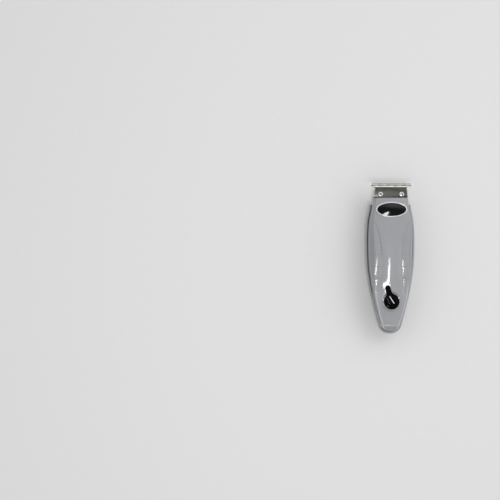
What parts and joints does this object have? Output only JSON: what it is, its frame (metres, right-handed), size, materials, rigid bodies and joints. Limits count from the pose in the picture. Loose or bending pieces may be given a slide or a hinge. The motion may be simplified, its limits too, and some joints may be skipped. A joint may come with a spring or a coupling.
{
  "type": "beard trimmer",
  "caption": "Cordless beard trimmer with a toothed T-shaped blade, a grey two-shell body with an oval badge, stepped grips and a turning on/off lever.",
  "frame": {"origin": "on the surface that the trimmer lies on, under the middle of its length and width", "axes": "+X to the right seen from the front, +Y towards the blade, +Z out of the front face"},
  "size_m": [0.0494, 0.1499, 0.037],
  "materials": {
    "shell_grey": "satin silver-grey",
    "badge_black": "polished black",
    "bright_steel": "bright plated",
    "blade_steel": "ground steel",
    "nose_silver": "satin silver",
    "lever_black": "black",
    "motor_steel": "plain steel",
    "brass": "turned",
    "magnet_grey": "sintered",
    "copper": "copper winding",
    "rubber_black": "moulded rubber",
    "cell_green": "shrink wrapped",
    "board_green": "solder mask",
    "nylon_white": "moulded nylon",
    "lead_red": "insulated wire",
    "lead_black": "insulated wire"
  },
  "bodies": {
    "housing": {"front_shell": "shell_grey", "rear_shell": "shell_grey", "nameplate": "badge_black", "nameplate_bezel": "bright_steel", "nose_block": "nose_silver", "cutter_spring": "bright_steel", "spring_screw": "bright_steel", "fixed_blade": "blade_steel", "blade_screw_left": "bright_steel", "blade_screw_right": "bright_steel", "motor_can": "motor_steel", "motor_front_bush": "brass", "motor_end_cap": "nylon_white", "motor_magnet_left": "magnet_grey", "motor_magnet_right": "magnet_grey", "motor_terminal_left": "brass", "motor_terminal_right": "brass", "motor_damper_front": "rubber_black", "motor_damper_rear": "rubber_black", "battery_cell": "cell_green", "battery_tab_positive": "bright_steel", "battery_tab_negative": "bright_steel", "circuit_board": "board_green", "board_screw_left": "bright_steel", "board_screw_right": "bright_steel", "charge_jack": "lever_black", "charge_jack_pin": "bright_steel", "motor_lead_red": "lead_red", "motor_lead_black": "lead_black", "switch_base": "motor_steel", "housing_screw_1": "motor_steel", "housing_screw_2": "motor_steel", "housing_screw_3": "motor_steel", "housing_screw_4": "motor_steel"},
    "rotor": {"motor_shaft": "bright_steel", "motor_commutator": "copper", "motor_armature": "copper", "eccentric": "brass", "eccentric_roller": "bright_steel"},
    "cutter": {"moving_blade": "blade_steel", "cutter_yoke": "nylon_white", "yoke_rivet_left": "bright_steel", "yoke_rivet_right": "bright_steel"},
    "switch_lever": {"switch_knob": "lever_black", "switch_spindle": "nylon_white"},
    "slider": {"switch_slider": "nylon_white"}
  },
  "joints": [
    {"name": "motor_spin", "type": "hinge", "parent": "housing", "child": "rotor", "pos_m": [0, 0.0445, 0.017], "axis": [0, 1, 0], "continuous": true},
    {"name": "cutter_slide", "type": "slide", "parent": "housing", "child": "cutter", "axis": [1, 0, 0], "range_m": [-0.0009, 0.0009]},
    {"name": "switch_turn", "type": "hinge", "parent": "housing", "child": "switch_lever", "pos_m": [0, -0.0425, 0.0317], "axis": [0, 0, -1], "range_deg": [0, 29]},
    {"name": "switch_slide", "type": "slide", "parent": "housing", "child": "slider", "axis": [1, 0, 0], "range_m": [0, 0.00252]}
  ],
  "couplings": [
    {"joint": "switch_slide", "follows": "switch_turn", "m_per_rad": 0.004947}
  ]
}
